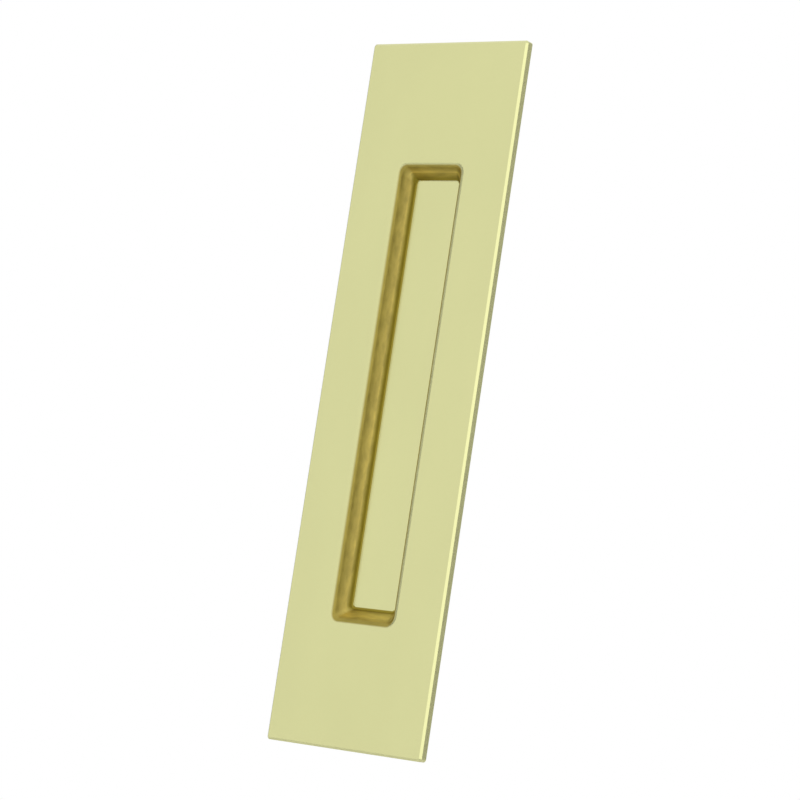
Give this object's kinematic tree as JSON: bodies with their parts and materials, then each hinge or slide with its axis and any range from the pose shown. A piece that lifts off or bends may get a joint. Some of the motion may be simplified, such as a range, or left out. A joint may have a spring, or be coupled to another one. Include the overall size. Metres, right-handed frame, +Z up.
{
  "type": "flush pull for a pocket door",
  "caption": "Rectangular flush pull in polished solid brass: thin bevelled flange with a long finger pocket sunk in its middle, for sliding a pocket door.",
  "frame": {"origin": "middle of the flange's back, in the plane of the door's face", "axes": "+Z up along the pull's length, +Y into the door, +X to the right for someone facing the pull"},
  "size_m": [0.0476, 0.0076, 0.1778],
  "materials": {
    "brass": "polished flange and pocket floor, satin pocket walls"
  },
  "bodies": {
    "root": {"pull_body": "brass"}
  },
  "joints": []
}
